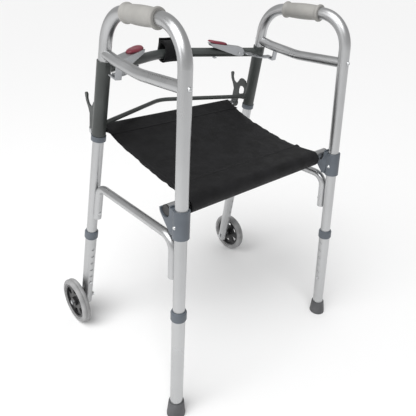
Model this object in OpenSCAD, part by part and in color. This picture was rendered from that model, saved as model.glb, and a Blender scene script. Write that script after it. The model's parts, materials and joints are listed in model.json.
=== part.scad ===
// Folding walking frame with a fold-away sling seat, front wheels and rubber rear tips.
// +X is the user's right, +Y is forwards, +Z is up. The origin is at the floor, midway
// between the outermost points of the frame. Each side frame lies in a plane that leans in.

/* [Stance] */
// Half the distance between the two side planes at the floor
side_x = 270; // [250:1:290]
// How far each side plane leans in, degrees
side_tilt = 3.15; // [2:0.05:4]
// Where the front leg's axis meets the floor
front_foot_y = 199; // [190:1:205]
// How far the front legs lean back, degrees
front_lean = 10.58; // [9:0.02:12]
// Where the rear leg's axis meets the floor
rear_foot_y = -230.7; // [-240:0.1:-225]
// How far the rear legs lean forward, degrees
rear_lean = 2.87; // [2:0.01:4]
// Height of the handle tube's axis
handle_z = 822; // [800:1:850]

/* [Tubes] */
// Outer diameter of the legs and handle
tube_d = 25.4; // [25.4:0.1:26]
// Wall of every tube
tube_wall = 1.5; // [1.2:0.1:1.6]
// Outer diameter of the leg extension that slides over the leg
lower_d = 28.6; // [28.4:0.1:29]
// Outer diameter of the upper side brace
upper_brace_d = 22; // [20:0.5:22]
// Outer diameter of the lower side brace
lower_brace_d = 19; // [18:0.5:20]
// Outer diameter of the front crossbar
crossbar_d = 22.2; // [20:0.1:23]
// Outer diameter of the thin lower front bar
thin_bar_d = 10.5; // [10:0.5:14]
// Radial gap between parts that turn or slide on each other
running_gap = 0.05; // [0.02:0.01:0.1]

/* [Front frame] */
// Height of the crossbar's axis
crossbar_z = 711; // [705:1:715]
// How far both front bars bow forward, before their middle bend is rounded
bow = 105; // [95:1:110]
// Height of the thin lower bar's axis
thin_bar_z = 587; // [580:1:595]
// Lower and upper ends of the hinge sleeves
sleeve_low_z = 565; // [560:1:570]
sleeve_top_z = 727; // [724:1:730]
// Outer diameter of the hinge sleeves
sleeve_d = 30; // [29:0.5:31]

/* [Release levers] */
// Distance from the leg's axis to the lever's pivot, along the crossbar
pivot_at = 60; // [56:1:64]
// Distance from the leg's axis to the lever's inner end
lever_end = 141; // [135:1:145]
// How far a lever turns when it is pressed, degrees
press_angle = 6.5; // [5:0.5:6.5]

/* [Legs] */
// Height of the snap button and of the lowest adjustment hole
button_z = 127; // [120:1:135]
// Spacing of the adjustment holes
hole_pitch = 24; // [23:0.1:24]
// Number of adjustment holes
hole_count = 6; // [5:1:6]
// Upper end of the rear and the front extension tube
rear_lower_top_z = 272; // [268:1:276]
front_lower_top_z = 288; // [284:1:292]

/* [Wheels] */
// Radius of the front wheels
wheel_r = 63.5; // [60:0.5:64]
// Distance from the middle of the frame to the middle of a wheel
wheel_x = 297; // [296:0.5:300]
// Width of the hub and of the tyre
hub_w = 22; // [20:0.5:22]
tyre_w = 21; // [18:0.5:21]

/* [Seat] */
// Axis of the fixed rod that the seat's front edge hangs on
rod_y = 141; // [138:1:144]
rod_z = 560; // [557:1:563]
// Axis of the bar in the seat's rear edge
bar_y = -172; // [-174:1:-170]
bar_z = 496; // [494:1:498]
// Diameter of the rod and of the bar
rod_d = 12.7; // [12:0.1:13]
bar_d = 22.2; // [22:0.1:22.4]
// Distance from the rod's axis to the crease, and from the crease to the bar's axis
link_len = 161; // [161:0.5:165]
// Width of the sling
seat_w = 410; // [380:1:412]
// Thickness of the sling
cloth_t = 4; // [3:0.5:5]
// Half the length of the rear bar
bar_half = 250; // [248:1:252]

/* [Hidden] */
$fn = 48;
LEFT = -1;
RIGHT = 1;
silver = "silver";
steel = "lightgrey";
dark = "dimgrey";
plastic = "grey";
black = "#1c1c1e";
maroon = "#7a2030";
far = 400;
weld_len = 0.6;
weld_proud = 0.03;

// Length along a leg for a height above the floor, and the place of a leg's axis at a height
function front_w(z) = z / (cos(side_tilt) * cos(front_lean));
function rear_w(z) = z / (cos(side_tilt) * cos(rear_lean));
function axis_x(z) = side_x - z * tan(side_tilt);
function front_y(z) = front_foot_y - z * tan(front_lean) / cos(side_tilt);
function rear_y(z) = rear_foot_y + z * tan(rear_lean) / cos(side_tilt);
// A point in the side plane, from its y and its height above the floor
function in_plane(y, z) = [y, z / cos(side_tilt)];
function bow_angle(z) = atan2(bow, axis_x(z));

// ---- Places ----
module on_half(s) mirror([s < 0 ? 1 : 0, 0, 0]) children();
module on_side(s) on_half(s) translate([side_x, 0, 0]) rotate([0, -side_tilt, 0]) children();
module on_front_leg(s) on_side(s) translate([0, front_foot_y, 0]) rotate([front_lean, 0, 0]) children();
module on_rear_leg(s) on_side(s) translate([0, rear_foot_y, 0]) rotate([-rear_lean, 0, 0]) children();
// Along a front bar: +x runs from the leg's axis to the middle, +y points rearwards
module on_bar(s, z) on_half(s)
    translate([axis_x(z), front_y(z), z]) rotate([0, 0, 180 - bow_angle(z)]) children();
module along_x() rotate([0, 90, 0]) children();

// ---- A round bar bent in its own XY plane ----
function unit(v) = v / norm(v);
function turn(a, b) = atan2(a.x * b.y - a.y * b.x, a * b);
function heading(p, i) = unit(p[i + 1] - p[i]);
// Length that the bend at corner i takes off each straight that meets it
function tangent(p, r, i) =
    i <= 0 || i >= len(p) - 1 ? 0 : r[i] * tan(abs(turn(heading(p, i - 1), heading(p, i))) / 2);

module bent_bar(p, r, d) {
    for (i = [0 : len(p) - 2]) {
        h = heading(p, i);
        a = p[i] + h * tangent(p, r, i);
        b = p[i + 1] - h * tangent(p, r, i + 1);
        translate([a.x, a.y, 0]) rotate([0, 0, atan2(h.y, h.x)]) along_x() cylinder(d = d, h = norm(b - a));
    }
    for (i = [1 : len(p) - 2]) {
        h0 = heading(p, i - 1);
        h1 = heading(p, i);
        angle = turn(h0, h1);
        side = sign(angle);
        centre = p[i] - h0 * tangent(p, r, i) + side * r[i] * [-h0.y, h0.x];
        from = side > 0 ? -side * [-h0.y, h0.x] : -side * [-h1.y, h1.x];
        translate([centre.x, centre.y, 0]) rotate([0, 0, atan2(from.y, from.x)])
            rotate_extrude(angle = abs(angle)) translate([r[i], 0]) circle(d = d);
        weld(p[i] - h0 * tangent(p, r, i), h0, d);
        weld(p[i] + h1 * tangent(p, r, i), h1, d);
    }
}

// A hair-thin ring that joins a straight to its bend
module weld(at, h, d) translate([at.x, at.y, 0]) rotate([0, 0, atan2(h.y, h.x)]) along_x()
    cylinder(d = d + weld_proud, h = weld_len, center = true);

// The same, hollow and open at both ends
module bent_tube(p, r, d, wall) {
    n = len(p) - 1;
    open_end = 2;
    longer = [for (i = [0 : n]) i == 0 ? p[0] - heading(p, 0) * open_end
        : i == n ? p[n] + heading(p, n - 1) * open_end : p[i]];
    difference() {
        bent_bar(p, r, d);
        bent_bar(longer, r, d - 2 * wall);
    }
}

// Turns the XY plane of a bent bar into the side plane
module upright() rotate([90, 0, 90]) children();

module ring(d_out, d_in, h) difference() {
    cylinder(d = d_out, h = h);
    translate([0, 0, -1]) cylinder(d = d_in, h = h + 2);
}

// ---- Front frame ----
crossbar_bend_r = 150;
thin_bend_r = 60;
function bar_path(z) = [[-axis_x(z), front_y(z)], [0, front_y(z) + bow], [axis_x(z), front_y(z)]];
pin_d = 5;
guide_at = 120;
guide_d = 5;
guide_hole_d = 10;
guide_low = 22.4;

module front_legs_cut(d) for (s = [LEFT, RIGHT]) on_front_leg(s) cylinder(d = d, h = front_w(760));

// Forward reach of a bar's rounded middle from where its legs stand
function middle_reach(z, r) = bow - r * (1 / cos(bow_angle(z)) - 1);
crossbar_bends = [0, crossbar_bend_r, 0];
thin_bends = [0, thin_bend_r, 0];
module crossbar_rod(d) translate([0, 0, crossbar_z]) bent_bar(bar_path(crossbar_z), crossbar_bends, d);
module thin_bar() translate([0, 0, thin_bar_z]) bent_bar(bar_path(thin_bar_z), thin_bends, thin_bar_d);

module front_crossbar() color(dark) difference() {
    translate([0, 0, crossbar_z]) bent_tube(bar_path(crossbar_z), crossbar_bends, crossbar_d, tube_wall);
    front_legs_cut(sleeve_d);
    for (s = [LEFT, RIGHT]) on_bar(s, crossbar_z) {
        translate([pivot_at, 0, 0]) rotate([90, 0, 0]) cylinder(d = pin_d, h = 60, center = true);
        translate([guide_at, 0, 0]) cylinder(d = guide_hole_d, h = 60, center = true);
    }
}

module hinge_sleeve(s) color(dark) on_front_leg(s) translate([0, 0, front_w(sleeve_low_z)])
    ring(sleeve_d, tube_d + 2 * running_gap, front_w(sleeve_top_z - sleeve_low_z));

module lower_front_bar() color(dark) difference() {
    thin_bar();
    front_legs_cut(sleeve_d);
}

plate_x = 227;
plate_t = 4;
hook_bolt_d = 6;
// Outline of a hook plate: a slim prong and a lobe that make an open hook, a window under
// the lobe, two arms to the sleeve and a round lobe round the rod
module hook_outline() difference() {
    union() {
        translate([rod_y - 2, rod_z + 1]) circle(r = 13);
        translate([rod_y + 12.5, 641]) circle(r = 5);
        polygon([[rod_y + 9, 566], [rod_y + 6, 582], [rod_y + 3, 600], [rod_y + 7, 612], [rod_y + 15, 627],
            [rod_y + 17.5, 641], [rod_y + 8, 641], [rod_y + 9, 632], [rod_y + 5, 622], [rod_y - 2, 617.5],
            [rod_y - 9, 617.5], [rod_y - 14, 623], [rod_y - 19, 630], [rod_y - 24, 633], [rod_y - 30, 632.5],
            [rod_y - 40, 628], [90, 600], [90, 578], [rod_y - 30, 576], [rod_y - 16, 574], [rod_y - 13, 566]]);
    }
    polygon([[rod_y - 20, 610], [rod_y - 24, 611.5], [rod_y - 32, 611.5], [rod_y - 37, 608], [rod_y - 38, 604],
        [rod_y - 37, 595], [rod_y - 34, 592], [rod_y - 19, 588], [rod_y - 16, 590], [rod_y - 16, 600]]);
    translate([rod_y, rod_z]) circle(d = hook_bolt_d);
}

module hook_plate(s) color(dark) difference() {
    on_half(s) translate([plate_x, 0, 0]) upright() linear_extrude(plate_t) hook_outline();
    front_legs_cut(sleeve_d);
    thin_bar();
}

module seat_front_rod() color(steel) translate([-plate_x, rod_y, rod_z]) along_x() difference() {
    cylinder(d = rod_d, h = 2 * plate_x);
    for (z = [0, 2 * plate_x - 15]) translate([0, 0, z]) cylinder(d = hook_bolt_d, h = 15);
}

module hook_plate_bolts() color(steel) for (s = [LEFT, RIGHT])
    on_half(s) translate([plate_x - 12, rod_y, rod_z]) along_x() {
        cylinder(d = hook_bolt_d, h = 12 + plate_t);
        translate([0, 0, 12 + plate_t]) cylinder(d = 12, h = 3.5, $fn = 6);
    }

pin_half = 17;
module lever_pivot_pins() color(steel) for (s = [LEFT, RIGHT])
    on_bar(s, crossbar_z) translate([pivot_at, 0, 0]) rotate([90, 0, 0])
        cylinder(d = pin_d, h = 2 * pin_half, center = true);

strap_x = 4;
strap_w = 48;
module tie_strap() color(black) difference() {
    translate([strap_x, front_y(crossbar_z) + middle_reach(crossbar_z, crossbar_bend_r), crossbar_z + 6])
        rotate([90, 0, 90]) linear_extrude(strap_w, center = true)
            offset(r = 12) square([16, 34], center = true);
    crossbar_rod(crossbar_d);
}

// ---- Release levers, in the crossbar's own frame ----
web_t = 2;
web_low = 12.5;
flange_in = 12.6;
flange_t = 2.2;
arm_r_in = 34;
arm_r_out = 50;
arm_low = 1.5;
arm_t = 3;
lever_hole_d = pin_d + 2 * running_gap;

// Turns the level lever up to its rest slope, about its pivot
module at_rest_slope()
    translate([pivot_at, 0, 0]) rotate([0, -press_angle, 0]) translate([-pivot_at, 0, 0]) children();
module flange_outline() polygon([
    [pivot_at - 14, -4], [pivot_at - 6, -7], [pivot_at + 8, -7], [lever_end - 6, 7],
    [lever_end - 2, web_low + web_t], [pivot_at - 6, web_low + web_t], [pivot_at - 14, 6]]);

// The latch arm curls round the back of the hinge sleeve, square to the leg
module latch_arm(s) intersection() {
    on_front_leg(s) translate([0, 0, front_w(crossbar_z) + arm_low])
        ring(2 * arm_r_out, 2 * arm_r_in, arm_t);
    on_bar(s, crossbar_z) translate([0, 0, -30]) linear_extrude(60)
        polygon([[pivot_at - 6, flange_in], [pivot_at - 6, 60], [-32, 60], [-14, 28], [10, flange_in]]);
}

module release_lever(s) color(steel) union() {
    on_bar(s, crossbar_z) at_rest_slope() difference() {
        union() {
            for (y = [flange_in + flange_t, -flange_in]) translate([0, y, 0])
                rotate([90, 0, 0]) linear_extrude(flange_t) flange_outline();
            translate([pivot_at - 6, -flange_in - flange_t, web_low])
                cube([lever_end - pivot_at + 4, 2 * (flange_in + flange_t), web_t]);
        }
        translate([pivot_at, 0, 0]) rotate([90, 0, 0]) cylinder(d = lever_hole_d, h = 60, center = true);
        translate([guide_at, 0, web_low - 1]) cylinder(d = guide_d, h = web_t + 2);
    }
    latch_arm(s);
}

paddle_from = 90;
paddle_w = 32;
module paddle(s) color(maroon) on_bar(s, crossbar_z) at_rest_slope()
    translate([(paddle_from + lever_end) / 2 + 1, 0, web_low + web_t]) difference() {
        linear_extrude(5) offset(r = 8) square([lever_end - paddle_from - 12, paddle_w - 16], center = true);
        translate([guide_at - (paddle_from + lever_end) / 2 - 1, 0, -1]) cylinder(d = 9, h = 4);
    }

module guide_screw(s) color(steel) on_bar(s, crossbar_z) at_rest_slope() {
    translate([guide_at, 0, web_low + web_t]) cylinder(d = 8.6, h = 2.6);
    translate([guide_at, 0, -guide_low]) cylinder(d = guide_d, h = guide_low + web_low + web_t);
    translate([guide_at, 0, 1 - guide_low]) ring(11.4, guide_d, 2.4);
}

// A coil of round wire: rings of points swept along a helix
spring_r = 6.4;
wire_r = 0.7;
coil_turns = 4;
steps = 14;
wire_sides = 6;
function coil_point(i, low, pitch) = let (a = 360 * i / steps)
    [spring_r * cos(a), spring_r * sin(a), low + pitch * i / steps];
module coil(low, high) {
    pitch = (high - low) / coil_turns;
    n = coil_turns * steps;
    points = [for (i = [0 : n], k = [0 : wire_sides - 1]) let (a = 360 * i / steps, b = 360 * k / wire_sides)
        coil_point(i, low, pitch) + wire_r * [cos(b) * cos(a), cos(b) * sin(a), sin(b)]];
    walls = [for (i = [0 : n - 1], k = [0 : wire_sides - 1]) let (m = (k + 1) % wire_sides)
        [i * wire_sides + k, (i + 1) * wire_sides + k, (i + 1) * wire_sides + m, i * wire_sides + m]];
    ends = [[for (k = [0 : wire_sides - 1]) k], [for (k = [wire_sides - 1 : -1 : 0]) n * wire_sides + k]];
    polyhedron(points, concat(walls, ends));
}

module lever_spring(s) color(steel) on_bar(s, crossbar_z) translate([guide_at, 0, 0])
    coil(crossbar_d / 2 + wire_r + 0.1, web_low + (guide_at - pivot_at) * tan(press_angle) - wire_r - 1.4);

// ---- Side frames ----
handle_r = 72;
leg_low_z = 110;
side_path = [in_plane(front_y(leg_low_z), leg_low_z), in_plane(front_y(handle_z), handle_z),
    in_plane(rear_y(handle_z), handle_z), in_plane(rear_y(leg_low_z), leg_low_z)];
button_d = 7;
button_hole_d = 7.6;

// Buttons and holes face rearwards on a front leg, and inwards on a rear leg
module facing_rear() rotate([90, 0, 0]) children();
module facing_in() rotate([0, -90, 0]) children();
button_bore_h = 30;
module bore() cylinder(d = button_hole_d, h = button_bore_h);

module side_tube(s) color(silver) difference() {
    on_side(s) upright() bent_tube(side_path, [0, handle_r, handle_r, 0], tube_d, tube_wall);
    on_front_leg(s) translate([0, 0, front_w(button_z)]) facing_rear() bore();
    on_rear_leg(s) translate([0, 0, rear_w(button_z)]) facing_in() bore();
}

grip_len = 100;
grip_y = (front_y(handle_z) + rear_y(handle_z)) / 2 + 4.4;
flange_r = 18.5;
// Half of the grip's outline: a rounded bead at each end and a smooth swell for the palm
bead = [[16.6, 0], [18, 1], [flange_r, 3], [flange_r, 4.5], [17.8, 6.5], [16.5, 8.2], [15.8, 10]];
module grip_profile() {
    swell = [for (i = [1 : 15]) let (t = i / 16) [15.8 + 1.5 * sin(180 * t), 10 + (grip_len - 20) * t]];
    far_bead = [for (i = [len(bead) - 1 : -1 : 0]) [bead[i].x, grip_len - bead[i].y]];
    polygon(concat([[tube_d / 2, 0]], bead, swell, far_bead, [[tube_d / 2, grip_len]]));
}
module grip(s) color("gainsboro") on_side(s)
    translate([0, grip_y + grip_len / 2, handle_z / cos(side_tilt)]) rotate([90, 0, 0])
        rotate_extrude() grip_profile();

module legs_cut(s) {
    on_front_leg(s) cylinder(d = tube_d, h = front_w(770));
    on_rear_leg(s) cylinder(d = tube_d, h = rear_w(770));
}

upper_path = [in_plane(front_y(742), 742), in_plane(20, 733.5), in_plane(-62, 722.5), in_plane(rear_y(724), 724)];
upper_bends = [0, 110, 190, 0];
module upper_brace(s) color(silver) difference() {
    on_side(s) upright() bent_tube(upper_path, upper_bends, upper_brace_d, tube_wall);
    legs_cut(s);
}

brace_off = (tube_d + lower_brace_d) / 2 + 0.1;
function beside_front(z) = in_plane(front_y(z) - brace_off / cos(front_lean), z);
function beside_rear(z) = in_plane(rear_y(z) + brace_off / cos(rear_lean), z);
lower_top_z = 438;
lower_end_z = 350;
module lower_brace(s) color(silver) on_side(s) upright() bent_tube(
    [beside_front(lower_end_z), beside_front(lower_top_z), beside_rear(lower_top_z), beside_rear(lower_end_z)],
    [0, 30, 30, 0], lower_brace_d, tube_wall);

plate_gap = 0.5;
catch_t = 3;
catch_r = 58;
catch_w = 14;
// An L-shaped plate that hangs from the upper brace, just under the latch arm
module catch_plate(s) color(steel) difference() {
    on_front_leg(s) translate([0, 0, front_w(crossbar_z) + arm_low - plate_gap - catch_t]) intersection() {
        union() {
            ring(2 * catch_r, 2 * 32, catch_t);
            ring(2 * catch_r, 2 * (catch_r - catch_t), 26);
        }
        translate([-catch_w / 2, -catch_r - 5, -1]) cube([catch_w, catch_r, 40]);
    }
    on_side(s) upright() bent_bar(upper_path, upper_bends, upper_brace_d);
    on_front_leg(s) translate([-2, -catch_r + 12, 0]) cube([4, 14, front_w(crossbar_z)]);
}

bracket_low_z = 450;
bracket_top_z = 507;
bracket_d = 33.4;
trough_gap = 2.5;
trough_wall = 3.5;
trough_in_r = bar_d / 2 + trough_gap;
trough_out_r = trough_in_r + trough_wall;
trough_w = 26;
// Section of the trough: a high wall next to the leg, a low wall in front, and an underside
// that tapers back to the foot of the bracket
module trough_outline() difference() {
    union() {
        circle(r = trough_out_r);
        translate([-trough_out_r, 0]) square([trough_out_r, 15]);
        polygon([[-trough_out_r - 8, 12], [-trough_out_r - 8, bracket_low_z - bar_z + 2],
            [-trough_out_r + 1, bracket_low_z - bar_z + 2],
            [trough_out_r * 0.87, -trough_out_r * 0.5], [-trough_out_r + 3, 12]]);
    }
    circle(r = trough_in_r);
    translate([-trough_in_r, 0]) square([2 * trough_in_r, 40]);
    translate([0, 1.5]) square([40, 40]);
}

module saddle_bracket(s) color(plastic) difference() {
    union() {
        on_rear_leg(s) translate([0, 0, rear_w(bracket_low_z)])
            cylinder(d = bracket_d, h = bracket_top_z - bracket_low_z);
        on_half(s) translate([axis_x(bar_z), bar_y, bar_z]) upright()
            linear_extrude(trough_w, center = true) trough_outline();
    }
    on_rear_leg(s) cylinder(d = tube_d, h = rear_w(600));
}

module hinge_bush(s) color(plastic) on_front_leg(s) translate([0, 0, front_w(sleeve_low_z) - 12.5])
    ring(33, tube_d, 12);

head_d = 9;
head_t = 2.4;
module screw_head() difference() {
    cylinder(d1 = head_d, d2 = head_d - 2.5, h = head_t);
    for (a = [0, 90]) rotate([0, 0, a]) translate([-2, -0.5, head_t - 0.8]) cube([4, 1, 2]);
}
module rivet_head() cylinder(d1 = head_d - 1, d2 = head_d - 4, h = head_t - 0.6);

// Brace screws and rivets, and the two heads of the saddle bracket's rivet
module side_fasteners(s) color(steel) {
    on_rear_leg(s) translate([0, -tube_d / 2, rear_w(724)]) rotate([90, 0, 0]) screw_head();
    on_front_leg(s) translate([0, tube_d / 2, front_w(742)]) rotate([-90, 0, 0]) screw_head();
    for (side = [0, 180]) on_rear_leg(s) translate([0, 0, rear_w(475)]) rotate([0, 0, side])
        translate([bracket_d / 2, 0, 0]) along_x() rivet_head();
    on_front_leg(s) translate([0, -brace_off - lower_brace_d / 2, front_w(372)])
        rotate([90, 0, 0]) rivet_head();
    on_rear_leg(s) translate([0, brace_off + lower_brace_d / 2, rear_w(372)])
        rotate([-90, 0, 0]) rivet_head();
}

// ---- Legs ----
axle_y = front_y(wheel_r);
axle_x = axis_x(wheel_r);
axle_d = 8;
module at_axle(s) on_half(s) translate([0, axle_y, wheel_r]) along_x() children();

// An extension tube in its leg's frame, less one bore at each step of the adjustment
module extension(low, high, button_at) difference() {
    translate([0, 0, low]) ring(lower_d, tube_d + 2 * running_gap, high - low);
    for (i = [0 : hole_count - 1]) translate([0, 0, button_at + i * hole_pitch]) children();
}

module front_leg_tube(s) color(silver) difference() {
    on_front_leg(s) extension(front_w(50), front_w(front_lower_top_z), front_w(button_z))
        facing_rear() bore();
    at_axle(s) cylinder(d = axle_d, h = far);
}

module rear_leg_tube(s) color(silver) on_rear_leg(s)
    extension(rear_w(9), rear_w(rear_lower_top_z), rear_w(button_z)) facing_in() bore();

collar_d = 33.5;
collar_h = 22;
// A plastic collar over the top of an extension tube; above the tube it guides the leg
module collar(top) translate([0, 0, top - 10]) difference() {
    rotate_extrude() polygon([[12, 0], [collar_d / 2 - 1, 0], [collar_d / 2, 2], [collar_d / 2, collar_h - 4],
        [collar_d / 2 - 2, collar_h], [12, collar_h]]);
    translate([0, 0, -1]) cylinder(d = lower_d, h = 11);
    translate([0, 0, -1]) cylinder(d = tube_d + 2 * running_gap, h = collar_h + 2);
}
module front_collar(s) color(plastic) on_front_leg(s) collar(front_w(front_lower_top_z));
module rear_collar(s) color(plastic) on_rear_leg(s) collar(rear_w(rear_lower_top_z));

// A hairpin spring inside the leg, with a button that stands out inwards through both tubes
clip_t = 0.8;
module snap_clip() {
    facing_in() cylinder(d = button_d, h = lower_d / 2 + 2.5);
    for (x = [-10, 8]) translate([x, -4, -8]) cube([clip_t, 8, 40]);
    translate([-10, -4, 32]) cube([18 + clip_t, 8, clip_t]);
}
module front_snap_button(s) color(steel)
    on_front_leg(s) translate([0, 0, front_w(button_z)]) rotate([0, 0, 90]) snap_clip();
module rear_snap_button(s) color(steel) on_rear_leg(s) translate([0, 0, rear_w(button_z)]) snap_clip();

// ---- Wheels ----
bolt_in_x = axle_x - lower_d / 2 - 0.6;
wheel_in_x = wheel_x - hub_w / 2;
wheel_out_x = wheel_x + hub_w / 2;
nut_t = 4;
module axle_bolt(s) color(steel) at_axle(s) {
    translate([0, 0, bolt_in_x - 5]) cylinder(d = 13, h = 5, $fn = 6);
    translate([0, 0, bolt_in_x - 0.1]) cylinder(d = axle_d, h = wheel_out_x + nut_t + 1.2 - bolt_in_x);
}
module axle_nut(s) color(steel) at_axle(s) {
    translate([0, 0, wheel_out_x + 0.4]) difference() {
        cylinder(d = 13, h = nut_t, $fn = 6);
        translate([0, 0, -1]) cylinder(d = axle_d, h = nut_t + 2);
    }
    translate([0, 0, wheel_in_x - 2.2]) ring(16, axle_d, 1.8);
}

rim_r = 48;
boss_r = 13;
web_half = 4;
windows = 6;
window_in = 25;
window_out = 40;
// A window through the hub's web, wider at the rim
module window_outline() polygon(concat(
    [for (a = [-15 : 5 : 15]) window_out * [cos(a), sin(a)]],
    [for (a = [12 : -6 : -12]) window_in * [cos(a), sin(a)]]));
module wheel_hub(s) color(black) at_axle(s) translate([0, 0, wheel_in_x]) difference() {
    union() {
        cylinder(r = boss_r, h = hub_w);
        translate([0, 0, 3]) ring(2 * rim_r, 2 * (rim_r - 5), hub_w - 6);
        translate([0, 0, hub_w / 2 - web_half]) cylinder(r = rim_r - 2, h = 2 * web_half);
    }
    translate([0, 0, -1]) cylinder(d = axle_d + 2 * running_gap, h = hub_w + 2);
    for (i = [0 : windows - 1]) rotate([0, 0, i * 360 / windows])
        linear_extrude(hub_w) window_outline();
}

module tyre(s) color("#6d6d70") at_axle(s) translate([0, 0, wheel_x]) rotate_extrude() difference() {
    union() {
        translate([rim_r, -tyre_w / 2 + 4]) square([wheel_r - rim_r - 4, tyre_w - 8]);
        translate([rim_r + 4, -tyre_w / 2]) square([wheel_r - rim_r - 10.5, tyre_w]);
        for (y = [-1, 1]) translate([wheel_r - 6.5, y * (tyre_w / 2 - 6.5)]) circle(r = 6.5);
        translate([rim_r, -tyre_w / 2 + 3]) square([8, tyre_w - 6]);
    }
    translate([0, -tyre_w]) square([rim_r, 2 * tyre_w]);
}

// ---- Rear tips ----
sole_r = 21;
module rear_tip(s) color("#3c3c3e") difference() {
    intersection() {
        on_rear_leg(s) translate([0, 0, -4]) rotate_extrude() polygon([[0, 0], [sole_r, 0], [sole_r, 8],
            [sole_r - 0.6, 12], [17.4, 40], [16.6, 42], [0, 42]]);
        translate([-far, -far, 0]) cube([2 * far, 2 * far, 60]);
    }
    on_rear_leg(s) translate([0, 0, rear_w(9)]) cylinder(d = lower_d, h = 60);
}

// ---- Seat: two links of cloth, hinged at the rod and at the crease ----
span = norm([rod_y - bar_y, rod_z - bar_z]);
chord_angle = atan2(rod_z - bar_z, rod_y - bar_y);
sag_angle = acos(span / 2 / link_len);
front_angle = chord_angle + sag_angle;
rear_angle = chord_angle - sag_angle;
front_pocket_r = 12;
rear_pocket_r = 19;
// How far the loose rear pocket hangs below the bar's axis
rear_drop = 4;
crease_gap = 0.4;
rod_slack = 0.2;

// A cloth link in the YZ plane: a round pocket at one end, a flat panel to the crease
module cloth_link(pocket, angle, reach, pocket_r, core_d, drop = 0) translate([-seat_w / 2, 0, 0]) upright()
    linear_extrude(seat_w) difference() {
        union() {
            translate(pocket - [0, drop]) circle(r = pocket_r);
            translate(pocket) rotate(angle) translate([0, -cloth_t]) square([reach, cloth_t]);
        }
        translate(pocket) circle(d = core_d);
    }

module seat_front_panel() color(black)
    cloth_link([rod_y, rod_z], 180 + front_angle, link_len - crease_gap,
        front_pocket_r, rod_d + 2 * rod_slack);
module seat_rear_panel() color(black)
    cloth_link([bar_y, bar_z], rear_angle, link_len - crease_gap, rear_pocket_r, bar_d, rear_drop);

module seat_rear_bar() color(silver) translate([-bar_half, bar_y, bar_z]) along_x()
    ring(bar_d, bar_d - 2 * tube_wall, 2 * bar_half);
module bar_end_caps() color(black) for (s = [LEFT, RIGHT])
    on_half(s) translate([bar_half, bar_y, bar_z]) along_x() {
        cylinder(d = bar_d, h = 3);
        translate([0, 0, -12]) cylinder(d = bar_d - 2 * tube_wall, h = 12.1);
    }

front_crossbar();
hinge_sleeve(LEFT);  // left_hinge_sleeve
hinge_sleeve(RIGHT);  // right_hinge_sleeve
lower_front_bar();
hook_plate(LEFT);  // left_hook_plate
hook_plate(RIGHT);  // right_hook_plate
seat_front_rod();
hook_plate_bolts();
lever_pivot_pins();
lever_spring(LEFT);  // left_lever_spring
lever_spring(RIGHT);  // right_lever_spring
tie_strap();
release_lever(LEFT);  // left_release_lever
release_lever(RIGHT);  // right_release_lever
paddle(LEFT);  // left_paddle
paddle(RIGHT);  // right_paddle
guide_screw(LEFT);  // left_guide_screw
guide_screw(RIGHT);  // right_guide_screw
side_tube(LEFT);  // left_side_tube
side_tube(RIGHT);  // right_side_tube
grip(LEFT);  // left_grip
grip(RIGHT);  // right_grip
upper_brace(LEFT);  // left_upper_brace
upper_brace(RIGHT);  // right_upper_brace
lower_brace(LEFT);  // left_lower_brace
lower_brace(RIGHT);  // right_lower_brace
catch_plate(LEFT);  // left_catch_plate
catch_plate(RIGHT);  // right_catch_plate
saddle_bracket(LEFT);  // left_saddle_bracket
saddle_bracket(RIGHT);  // right_saddle_bracket
hinge_bush(LEFT);  // left_hinge_bush
hinge_bush(RIGHT);  // right_hinge_bush
side_fasteners(LEFT);  // left_side_fasteners
side_fasteners(RIGHT);  // right_side_fasteners
front_leg_tube(LEFT);  // left_front_leg_tube
front_leg_tube(RIGHT);  // right_front_leg_tube
front_collar(LEFT);  // left_front_collar
front_collar(RIGHT);  // right_front_collar
axle_bolt(LEFT);  // left_axle_bolt
axle_bolt(RIGHT);  // right_axle_bolt
axle_nut(LEFT);  // left_axle_nut
axle_nut(RIGHT);  // right_axle_nut
wheel_hub(LEFT);  // left_wheel_hub
wheel_hub(RIGHT);  // right_wheel_hub
tyre(LEFT);  // left_tyre
tyre(RIGHT);  // right_tyre
front_snap_button(LEFT);  // left_front_snap_button
front_snap_button(RIGHT);  // right_front_snap_button
rear_leg_tube(LEFT);  // left_rear_leg_tube
rear_leg_tube(RIGHT);  // right_rear_leg_tube
rear_collar(LEFT);  // left_rear_collar
rear_collar(RIGHT);  // right_rear_collar
rear_tip(LEFT);  // left_rear_tip
rear_tip(RIGHT);  // right_rear_tip
rear_snap_button(LEFT);  // left_rear_snap_button
rear_snap_button(RIGHT);  // right_rear_snap_button
seat_front_panel();
seat_rear_panel();
seat_rear_bar();
bar_end_caps();
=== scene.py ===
import json
import math
import random

import bmesh
import bpy
from mathutils import Matrix, Vector


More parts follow.
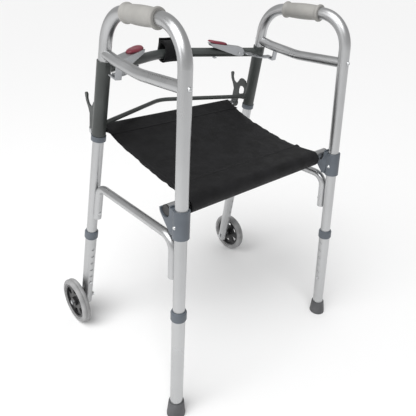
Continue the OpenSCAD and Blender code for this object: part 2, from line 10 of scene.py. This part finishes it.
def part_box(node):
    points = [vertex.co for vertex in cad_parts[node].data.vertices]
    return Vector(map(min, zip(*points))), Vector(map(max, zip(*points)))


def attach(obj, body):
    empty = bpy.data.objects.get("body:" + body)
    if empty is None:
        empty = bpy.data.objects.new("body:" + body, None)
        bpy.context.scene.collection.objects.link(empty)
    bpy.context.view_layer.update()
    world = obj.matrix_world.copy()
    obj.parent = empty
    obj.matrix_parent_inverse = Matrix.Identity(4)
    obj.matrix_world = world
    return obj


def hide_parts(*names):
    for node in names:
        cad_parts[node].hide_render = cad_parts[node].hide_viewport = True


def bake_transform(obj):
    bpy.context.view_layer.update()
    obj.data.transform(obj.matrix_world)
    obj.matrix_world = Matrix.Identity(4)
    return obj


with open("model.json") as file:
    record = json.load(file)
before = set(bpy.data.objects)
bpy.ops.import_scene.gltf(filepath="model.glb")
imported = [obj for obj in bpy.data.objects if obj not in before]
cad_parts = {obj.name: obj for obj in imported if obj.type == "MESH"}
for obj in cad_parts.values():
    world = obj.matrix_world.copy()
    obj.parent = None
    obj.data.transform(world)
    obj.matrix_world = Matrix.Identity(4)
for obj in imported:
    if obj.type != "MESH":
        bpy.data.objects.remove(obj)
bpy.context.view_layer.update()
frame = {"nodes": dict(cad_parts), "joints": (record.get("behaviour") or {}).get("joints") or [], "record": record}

# Folding walking frame with a sling seat. Metres, +X the user's right, +Y forwards, +Z up.
SIDES = ("left", "right")
JOINTS = {j["name"]: j for j in frame["joints"]}
UP = Vector((0, 0, 1))


# ---- Materials: every one is built from nodes, in object coordinates ----
class Finish:
    """A Principled material and the few nodes that its grain, colour variation and bump need."""

    def __init__(self, name, colour, rough, **sockets):
        self.material = bpy.data.materials.new(name)
        self.material.use_nodes = True
        self.tree = self.material.node_tree
        self.shader = self.tree.nodes["Principled BSDF"]
        self.colour, self.rough, self.height = colour, rough, None
        self.shader.inputs["Base Color"].default_value = (*colour, 1)
        self.shader.inputs["Roughness"].default_value = rough
        for socket, value in sockets.items():
            self.shader.inputs[socket.replace("_", " ")].default_value = value

    def node(self, kind, **settings):
        made = self.tree.nodes.new(kind)
        for key, value in settings.items():
            if key in made.inputs:
                made.inputs[key].default_value = value
            else:
                setattr(made, key, value)
        return made

    def link(self, out, into):
        self.tree.links.new(out, into)

    def coordinates(self, stretch=(1, 1, 1)):
        source = self.node("ShaderNodeTexCoord")
        mapping = self.node("ShaderNodeMapping")
        mapping.inputs["Scale"].default_value = stretch
        self.link(source.outputs["Object"], mapping.inputs["Vector"])
        return mapping.outputs["Vector"]

    def noise(self, scale, detail=3.0, stretch=(1, 1, 1)):
        made = self.node("ShaderNodeTexNoise", Scale=scale, Detail=detail)
        self.link(self.coordinates(stretch), made.inputs["Vector"])
        return made.outputs["Fac"]

    def ridges(self, scale, direction):
        made = self.node("ShaderNodeTexWave", Scale=scale, Distortion=0.0, bands_direction=direction)
        self.link(self.coordinates(), made.inputs["Vector"])
        return made.outputs["Fac"]

    def cells(self, scale):
        made = self.node("ShaderNodeTexVoronoi", Scale=scale)
        self.link(self.coordinates(), made.inputs["Vector"])
        return made.outputs["Distance"]

    def spread(self, factor, low, high, span=(0.3, 0.7)):
        made = self.node("ShaderNodeMapRange")
        for key, value in zip(("From Min", "From Max", "To Min", "To Max"), (*span, low, high)):
            made.inputs[key].default_value = value
        self.link(factor, made.inputs["Value"])
        return made.outputs["Result"]

    def math(self, operation, a, b):
        made = self.node("ShaderNodeMath", operation=operation)
        for i, value in enumerate((a, b)):
            if isinstance(value, (int, float)):
                made.inputs[i].default_value = value
            else:
                self.link(value, made.inputs[i])
        return made.outputs["Value"]

    def tint(self, factor, darker, lighter):
        """Colour that wanders between two shades of the base colour."""
        ramp = self.node("ShaderNodeValToRGB")
        ramp.color_ramp.elements[0].position, ramp.color_ramp.elements[1].position = 0.35, 0.65
        for element, gain in zip(ramp.color_ramp.elements, (darker, lighter)):
            element.color = (*[min(1, c * gain) for c in self.colour], 1)
        self.link(factor, ramp.inputs["Fac"])
        self.link(ramp.outputs["Color"], self.shader.inputs["Base Color"])
        return self

    def gloss(self, factor, amount):
        rough = self.spread(factor, self.rough - amount, self.rough + amount)
        self.link(rough, self.shader.inputs["Roughness"])
        return self

    def bump(self, factor, distance, strength=1.0):
        made = self.node("ShaderNodeBump", Strength=strength, Distance=distance)
        self.link(factor, made.inputs["Height"])
        if self.height is not None:
            self.link(self.height, made.inputs["Normal"])
        self.height = made.outputs["Normal"]
        self.link(self.height, self.shader.inputs["Normal"])
        return self


def moulded(name, colour, rough, grain=1500, depth=0.00006):
    """Injection-moulded plastic: fine spark-eroded grain, faint flow marks, uneven gloss."""
    f = Finish(name, colour, rough)
    f.tint(f.noise(22, 4), 0.9, 1.1).gloss(f.noise(60, 5), 0.07)
    return f.bump(f.noise(grain, 2), depth).bump(f.noise(70, 3), 0.00008, 0.4).material


def metal(name, colour, rough, stretch, scale=260, depth=0.00002):
    """Metal with drawn streaks along one direction and soft handling marks."""
    f = Finish(name, colour, rough, Metallic=1.0)
    f.tint(f.noise(9, 5), 0.93, 1.05).gloss(f.noise(18, 6), 0.07)
    return f.bump(f.noise(scale, 4, stretch), depth).material


def anodised():
    f = Finish("anodised_tube", (0.51, 0.515, 0.52), 0.33, Metallic=1.0)
    f.tint(f.noise(7, 6), 0.94, 1.03).gloss(f.noise(14, 6, (1, 1, 0.25)), 0.08)
    return f.bump(f.noise(420, 3, (1, 1, 0.03)), 0.00002).bump(f.noise(1400, 2), 0.00001).material


def powder_coat():
    f = Finish("dark_paint", (0.04, 0.045, 0.043), 0.4, Coat_Weight=0.12, Coat_Roughness=0.3)
    f.tint(f.noise(16, 5), 0.85, 1.2).gloss(f.noise(30, 5), 0.08)
    return f.bump(f.noise(700, 2), 0.00007).material


def zinc():
    f = Finish("zinc_steel", (0.6, 0.61, 0.62), 0.26, Metallic=1.0)
    f.tint(f.cells(320), 0.86, 1.05).gloss(f.noise(150, 4), 0.1)
    return f.bump(f.noise(500, 3), 0.00003).material


def nylon():
    """Plain-weave nylon: two crossed sets of threads, a dusty bloom and soft creases."""
    f = Finish("seat_fabric", (0.006, 0.006, 0.0068), 0.6, Specular_IOR_Level=0.22,
               Sheen_Weight=0.03, Sheen_Roughness=0.4)
    warp, weft = f.ridges(420, "X"), f.ridges(420, "Y")
    f.tint(f.noise(30, 5), 0.7, 1.5).gloss(f.noise(45, 4), 0.08)
    f.bump(f.math("MULTIPLY", warp, weft), 0.0002, 0.7)
    return f.bump(f.noise(38, 4), 0.0006, 0.5).material


def hook_and_loop():
    f = Finish("strap_fabric", (0.006, 0.006, 0.0065), 0.85, Specular_IOR_Level=0.2,
               Sheen_Weight=0.05, Sheen_Roughness=0.5)
    f.tint(f.cells(900), 0.5, 1.9)
    return f.bump(f.cells(1100), 0.0005).bump(f.noise(90, 3), 0.0004, 0.5).material


def rubber(name, colour, rough):
    f = Finish(name, colour, rough)
    f.tint(f.noise(40, 6), 0.82, 1.2).gloss(f.noise(25, 4), 0.06)
    return f.bump(f.noise(900, 4), 0.00012).material


LOOKS = {
    "anodised_tube": anodised(),
    "dark_paint": powder_coat(),
    "zinc_steel": zinc(),
    "lever_steel": metal("lever_steel", (0.4, 0.41, 0.425), 0.3, (0.06, 1, 1)),
    "maroon_plastic": moulded("maroon_plastic", (0.17, 0.018, 0.034), 0.34),
    "strap_fabric": hook_and_loop(),
    "grip_plastic": moulded("grip_plastic", (0.32, 0.313, 0.297), 0.5, grain=1100, depth=0.00012),
    "grey_plastic": moulded("grey_plastic", (0.1, 0.115, 0.135), 0.42),
    "black_plastic": moulded("black_plastic", (0.016, 0.016, 0.017), 0.42),
    "tyre": rubber("tyre", (0.3, 0.3, 0.302), 0.62),
    "tip_rubber": rubber("tip_rubber", (0.085, 0.086, 0.09), 0.62),
    "seat_fabric": nylon(),
    "thread": moulded("thread", (0.03, 0.03, 0.032), 0.7),
}


def dress_cad():
    """Gives every CAD node the finish of its material slot."""
    for part in frame["record"]["subparts"]:
        piece = frame["nodes"][part["node"]]
        piece.data.materials.clear()
        piece.data.materials.append(LOOKS[part["material_slot"]])


# ---- Mesh helpers ----
def mesh_object(name, points, faces, look, smooth=True):
    mesh = bpy.data.meshes.new(name)
    mesh.from_pydata([tuple(p) for p in points], [], faces)
    mesh.update()
    for polygon in mesh.polygons:
        polygon.use_smooth = smooth
    made = bpy.data.objects.new(name, mesh)
    bpy.context.collection.objects.link(made)
    mesh.materials.append(LOOKS[look])
    return made


def grid_faces(rows, columns):
    return [(i * columns + j, i * columns + j + 1, (i + 1) * columns + j + 1, (i + 1) * columns + j)
            for i in range(rows - 1) for j in range(columns - 1)]


def apply_modifiers(made):
    evaluated = made.evaluated_get(bpy.context.evaluated_depsgraph_get())
    made.data = bpy.data.meshes.new_from_object(evaluated)
    made.modifiers.clear()


def thicken(made, thickness):
    modifier = made.modifiers.new("thickness", "SOLIDIFY")
    modifier.thickness = thickness
    modifier.offset = 0
    apply_modifiers(made)


# ---- Seat sling: one sheet, looped round the front rod and the rear bar ----
ROD_LO, ROD_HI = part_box("seat_front_rod")
BAR_LO, BAR_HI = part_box("seat_rear_bar")
ROD = (ROD_LO + ROD_HI) / 2
BAR_DROP = 0.004
BAR = (BAR_LO + BAR_HI) / 2 - UP * BAR_DROP
PANEL_LO, PANEL_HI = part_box("seat_front_panel")
HALF_WIDTH = PANEL_HI[0] - 0.001
FRONT_LOOP, REAR_LOOP = 0.0095, 0.0182
FLAP_FRONT, FLAP_REAR = 0.042, 0.052
FLAP_GAP = 0.0022
FLAP_CURVE = 1.6
FLAP_STEPS, FRONT_STEPS, TOP_STEPS, REAR_STEPS = 10, 12, 64, 16
SAG = 0.009
COLUMNS = 90
PER_ROW = COLUMNS + 1
CLOTH = 0.0013
DRAWN_IN = 0.003
HANG_FRAMES = 26
HANG_LIMIT = 0.008


def loop_point(centre, radius, degrees):
    a = math.radians(degrees)
    return Vector((0, centre.y + radius * math.cos(a), centre.z + radius * math.sin(a)))


def seat_section():
    """The sheet's line in the YZ plane, from the hem under the front to the hem under the rear.
    Each point comes with 1 if it is free to hang, or 0 if it is held."""
    top_front = Vector((0, ROD.y, ROD.z + FRONT_LOOP))
    top_rear = Vector((0, BAR.y, BAR.z + REAR_LOOP))
    span = top_rear - top_front
    line = []

    def top(t):
        return top_front + span * t - UP * (4 * SAG * t * (1 - t))

    def flap(t, loop, done):
        under = FLAP_GAP + (2 * loop - FLAP_GAP) * done ** FLAP_CURVE
        return top(t) - UP * under

    length = span.length
    for i in range(FLAP_STEPS):
        done = i / FLAP_STEPS
        line.append((flap(FLAP_FRONT / length * (1 - done), FRONT_LOOP, done), 0.0))
    for i in range(FRONT_STEPS + 1):
        line.append((loop_point(ROD, FRONT_LOOP, -90 + 180 * i / FRONT_STEPS), 0.0))
    for i in range(1, TOP_STEPS):
        line.append((top(i / TOP_STEPS), 1.0))
    for i in range(REAR_STEPS + 1):
        line.append((loop_point(BAR, REAR_LOOP, 90 + 180 * i / REAR_STEPS), 0.0))
    for i in range(1, FLAP_STEPS + 1):
        t = 1 - FLAP_REAR / length * i / FLAP_STEPS
        line.append((flap(t, REAR_LOOP, 1 - i / FLAP_STEPS), 0.0))
    return line


SECTION = seat_section()
TOP_ROWS = [i for i, (_, free) in enumerate(SECTION) if free]


def pucker(waves, s):
    return sum(size * math.sin(s * k + phase) for size, k, phase in waves)


def seat_points():
    """The sheet's grid before it hangs: edges drawn in between the bars, and hems that pucker."""
    rng = random.Random(7)
    waves = {side: [(rng.uniform(0.0002, 0.0007), k, rng.uniform(0, 6.28)) for k in (62, 105, 190, 310)]
             for side in (-1, 1)}
    points = []
    for p, free in SECTION:
        along = (p.y - BAR.y) / (ROD.y - BAR.y)
        drawn_in = DRAWN_IN * math.sin(math.pi * min(1, max(0, along)))
        for j in range(COLUMNS + 1):
            u = 2 * j / COLUMNS - 1
            side = 1 if u > 0 else -1
            near_edge = max(0.0, (abs(u) - 0.84) / 0.16) ** 2
            wobble = pucker(waves[side], p.y) * near_edge
            x = u * (HALF_WIDTH - drawn_in) - side * abs(wobble) * 0.8
            lift = wobble * (1.6 if free else 0.25)
            points.append(Vector((x, p.y, p.z + lift)))
    return points


def hang(sheet, points):
    """Cloth simulation of the stretch between the bars; the loops round them stay put."""
    held = sheet.vertex_groups.new(name="held")
    for i, (_, free) in enumerate(SECTION):
        edge_row = i in (TOP_ROWS[0], TOP_ROWS[-1])
        weight = 0.0 if free and not edge_row else 1.0
        held.add(list(range(i * PER_ROW, (i + 1) * PER_ROW)), weight, "REPLACE")
    cloth = sheet.modifiers.new("cloth", "CLOTH")
    cloth.settings.vertex_group_mass = "held"
    cloth.settings.quality = 8
    cloth.settings.mass = 0.25
    cloth.settings.tension_stiffness = 60
    cloth.settings.compression_stiffness = 40
    cloth.settings.shear_stiffness = 25
    cloth.settings.bending_stiffness = 1.5
    cloth.settings.effector_weights.gravity = 1.0
    cloth.point_cache.frame_start, cloth.point_cache.frame_end = 1, HANG_FRAMES
    scene = bpy.context.scene
    for step in range(1, HANG_FRAMES + 1):
        scene.frame_set(step)
    apply_modifiers(sheet)
    scene.frame_set(1)
    sheet.vertex_groups.clear()
    for vertex, start in zip(sheet.data.vertices, points):
        moved = vertex.co - start
        if moved.length > HANG_LIMIT:
            vertex.co = start + moved * (HANG_LIMIT / moved.length)


def bend_with_seat(piece):
    """Bakes the piece's transform into its mesh; it is not attached to either of the seat's links."""
    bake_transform(piece)


def creases(points):
    """Soft creases: one along the rear pocket's seam, and one faint drag line from the rear left corner."""
    seam_y = BAR.y + FLAP_REAR
    for i in TOP_ROWS:
        for j in range(PER_ROW):
            p = points[i * PER_ROW + j]
            u = p.x / HALF_WIDTH
            across = (p.y - seam_y) / 0.006
            p.z -= 0.0011 * math.exp(-across * across)
            drag = (p.y - BAR.y) - 0.24 * (u + 0.9)
            p.z += 0.0009 * math.exp(-(drag / 0.014) ** 2) * (1 - u * u)
    return points


def seat_sling():
    points = creases(seat_points())
    sheet = mesh_object("seat_sling", points, grid_faces(len(SECTION), PER_ROW), "seat_fabric")
    hang(sheet, points)
    rows = [v.co.copy() for v in sheet.data.vertices]
    thicken(sheet, CLOTH)
    bend_with_seat(sheet)
    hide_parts("seat_front_panel", "seat_rear_panel")
    return sheet, rows


def surface(rows, i, x):
    """A point on the sheet's grid at row i, which may lie between rows, at distance x from the middle."""
    low = min(int(i), len(SECTION) - 2)
    f = i - low
    u = (x / HALF_WIDTH + 1) / 2 * COLUMNS
    j = min(max(int(u), 0), COLUMNS - 1)
    g = min(max(u - j, 0), 1)

    def at(a, b):
        return rows[a * PER_ROW + b]

    front = at(low, j).lerp(at(low, j + 1), g)
    return front.lerp(at(low + 1, j).lerp(at(low + 1, j + 1), g), f)


def stitch(points, faces, a, b, normal):
    """One stitch: a short lozenge that lies on the cloth from a to b."""
    along = b - a
    side = along.cross(normal).normalized() * 0.0005
    rise = normal * 0.0005
    start = len(points)
    mid = (a + b) / 2
    points += [a, mid + side, b, mid - side, mid + rise, mid - rise]
    for k in range(4):
        m = (k + 1) % 4
        faces += [(start + k, start + m, start + 4), (start + m, start + k, start + 5)]


def seat_stitching(rows):
    """Rows of stitches along both side hems and across the two pockets' seams."""
    points, faces = [], []
    lift = UP * (CLOTH / 2 + 0.0001)
    pitch, share, seam_inset = 0.0046, 0.66, 0.004
    first, last = TOP_ROWS[0], TOP_ROWS[-1]
    row_len = (ROD.y - BAR.y) / (last - first)
    for side in (-1, 1):
        for inset in (0.005, 0.012):
            x = side * (HALF_WIDTH - inset)
            i = first + 1.0
            while i + pitch / row_len < last:
                a = surface(rows, i, x) + lift
                b = surface(rows, i + share * pitch / row_len, x) + lift
                stitch(points, faces, a, b, UP)
                i += pitch / row_len
    for seam in (first + FLAP_FRONT / row_len - 1, last - FLAP_REAR / row_len + 1):
        for shift in (-0.7, 0.7):
            x = -HALF_WIDTH + seam_inset
            while x + pitch < HALF_WIDTH - seam_inset:
                a = surface(rows, seam + shift, x) + lift
                b = surface(rows, seam + shift, x + share * pitch) + lift
                stitch(points, faces, a, b, UP)
                x += pitch
    made = mesh_object("seat_stitching", points, faces, "thread", smooth=False)
    bend_with_seat(made)
    return made


# ---- Hook-and-loop tie strap, wound loosely round the crossbar ----
def tie_strap():
    lo, hi = (Vector(v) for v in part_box("tie_strap"))
    middle = (lo + hi) / 2
    width, tape = 0.047, 0.0014
    turns, steps, across = 2.35, 150, 8
    axis = Vector((1, 0, 0))
    ahead = UP.cross(axis).normalized()
    points = []
    for i in range(steps + 1):
        t = i / steps
        a = math.radians(-60) + 2 * math.pi * turns * t
        grow = t ** 0.8
        loose_end = 0.005 * max(0.0, (t - 0.9) / 0.1) ** 2
        r_y = 0.0128 + 0.0056 * grow + loose_end
        r_z = 0.0185 + 0.0088 * grow + loose_end
        twist = 0.003 * math.sin(3 * a)
        for j in range(across + 1):
            u = j / across - 0.5
            cup = 0.0009 * (4 * u * u - 0.4)
            radius = Vector((0, (r_y + cup) * math.cos(a), (r_z + cup) * math.sin(a)))
            points.append(middle + axis * (u * width + twist * t) + ahead * radius.y + UP * radius.z)
    strap = mesh_object("wound_tie_strap", points, grid_faces(steps + 1, across + 1), "strap_fabric")
    thicken(strap, tape)
    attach(strap, "front_frame")
    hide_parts("tie_strap")


# ---- Palm paddles: a domed, leaf-shaped pad over each lever's inner end ----
def palm_paddle(side):
    press = JOINTS[side + "_lever_press"]
    pivot, axis = Vector(press["pos_m"]), Vector(press["axis"]).normalized()
    inward = axis.cross(UP).normalized()
    slope = math.radians(6.5)
    forward = inward * math.cos(slope) + UP * math.sin(slope)
    lift = UP * math.cos(slope) - inward * math.sin(slope)
    length, width, thick = 0.054, 0.031, 0.0062
    centre = pivot + forward * 0.0575 + lift * 0.0146
    rings, around = 9, 48
    top, bottom = [], []
    for k in range(rings + 1):
        rho = k / rings
        for n in range(around):
            a = 2 * math.pi * n / around
            c, s = math.cos(a), math.sin(a)
            taper = 1 - 0.2 * max(0.0, -c)
            x = abs(c) ** 0.8 * math.copysign(length / 2, c) * rho
            y = abs(s) ** 0.8 * math.copysign(width / 2, s) * rho * taper
            dome = thick * (1 - rho ** 4) ** 0.5
            curl = 0.0035 * max(0.0, x / (length / 2)) ** 2
            place = centre + forward * x + axis * y
            top.append(place + lift * (dome + curl))
            bottom.append(place + lift * curl)
    half = len(top)
    faces = []
    for k in range(rings):
        for n in range(around):
            m = (n + 1) % around
            a, b, c, d = k * around + n, k * around + m, (k + 1) * around + m, (k + 1) * around + n
            faces += [(a, d, c, b), (half + a, half + b, half + c, half + d)]
    pad = mesh_object(side + "_palm_pad", top + bottom, faces, "maroon_plastic")
    edit = bmesh.new()
    edit.from_mesh(pad.data)
    bmesh.ops.remove_doubles(edit, verts=edit.verts, dist=0.00002)
    bmesh.ops.recalc_face_normals(edit, faces=edit.faces)
    edit.to_mesh(pad.data)
    edit.free()
    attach(pad, side + "_lever")
    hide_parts(side + "_paddle")


# ---- Stage, lights and camera ----
def studio():
    floor_mesh = bpy.data.meshes.new("floor")
    reach = 60
    corners = [(-reach, -reach, 0), (reach, -reach, 0), (reach, reach, 0), (-reach, reach, 0)]
    floor_mesh.from_pydata(corners, [], [(0, 1, 2, 3)])
    floor = bpy.data.objects.new("floor", floor_mesh)
    floor.location.z = -0.0005
    bpy.context.collection.objects.link(floor)
    floor_mesh.materials.append(Finish("floor", (0.93, 0.93, 0.93), 0.6).material)
    world = bpy.data.worlds.new("world")
    world.use_nodes = True
    world.node_tree.nodes["Background"].inputs["Color"].default_value = (1, 1, 1, 1)
    world.node_tree.nodes["Background"].inputs["Strength"].default_value = 0.5
    bpy.context.scene.world = world
    bpy.context.scene.view_settings.view_transform = "Standard"
    sun = bpy.data.lights.new("sun", "SUN")
    sun.energy, sun.angle = 2.1, math.radians(50)
    softbox = bpy.data.lights.new("softbox", "AREA")
    softbox.shape, softbox.size, softbox.energy = "DISK", 1.2, 9
    for data, place in ((sun, (-1.3, -0.5, 2.6)), (softbox, (-1.8, 0.3, 1.5))):
        light = bpy.data.objects.new(data.name, data)
        light.location = place
        light.rotation_euler = (Vector((0, 0, 0.45)) - Vector(place)).to_track_quat("-Z", "Y").to_euler()
        bpy.context.collection.objects.link(light)


def camera():
    """Stands behind the frame on its left, at about head height, looking down at the seat."""
    yaw, pitch, roll = math.radians(43.1), math.radians(-27.6), math.radians(2.8)
    ahead = Vector((math.sin(yaw) * math.cos(pitch), math.cos(yaw) * math.cos(pitch), math.sin(pitch)))
    level = Vector((math.cos(yaw), -math.sin(yaw), 0))
    over = level.cross(ahead)
    right = level * math.cos(roll) + over * math.sin(roll)
    up = over * math.cos(roll) - level * math.sin(roll)
    data = bpy.data.cameras.new("camera")
    data.sensor_width, data.lens = 36, 37.5
    data.shift_x, data.shift_y = -0.0043, -0.0186
    data.clip_start = 0.05
    made = bpy.data.objects.new("camera", data)
    made.matrix_world = Matrix((right, up, -ahead)).transposed().to_4x4()
    made.location = (-0.677, -0.744, 0.891)
    bpy.context.collection.objects.link(made)
    bpy.context.scene.camera = made


dress_cad()
sling, sling_rows = seat_sling()
stitches = seat_stitching(sling_rows)
tie_strap()
for side in SIDES:
    palm_paddle(side)
studio()
camera()
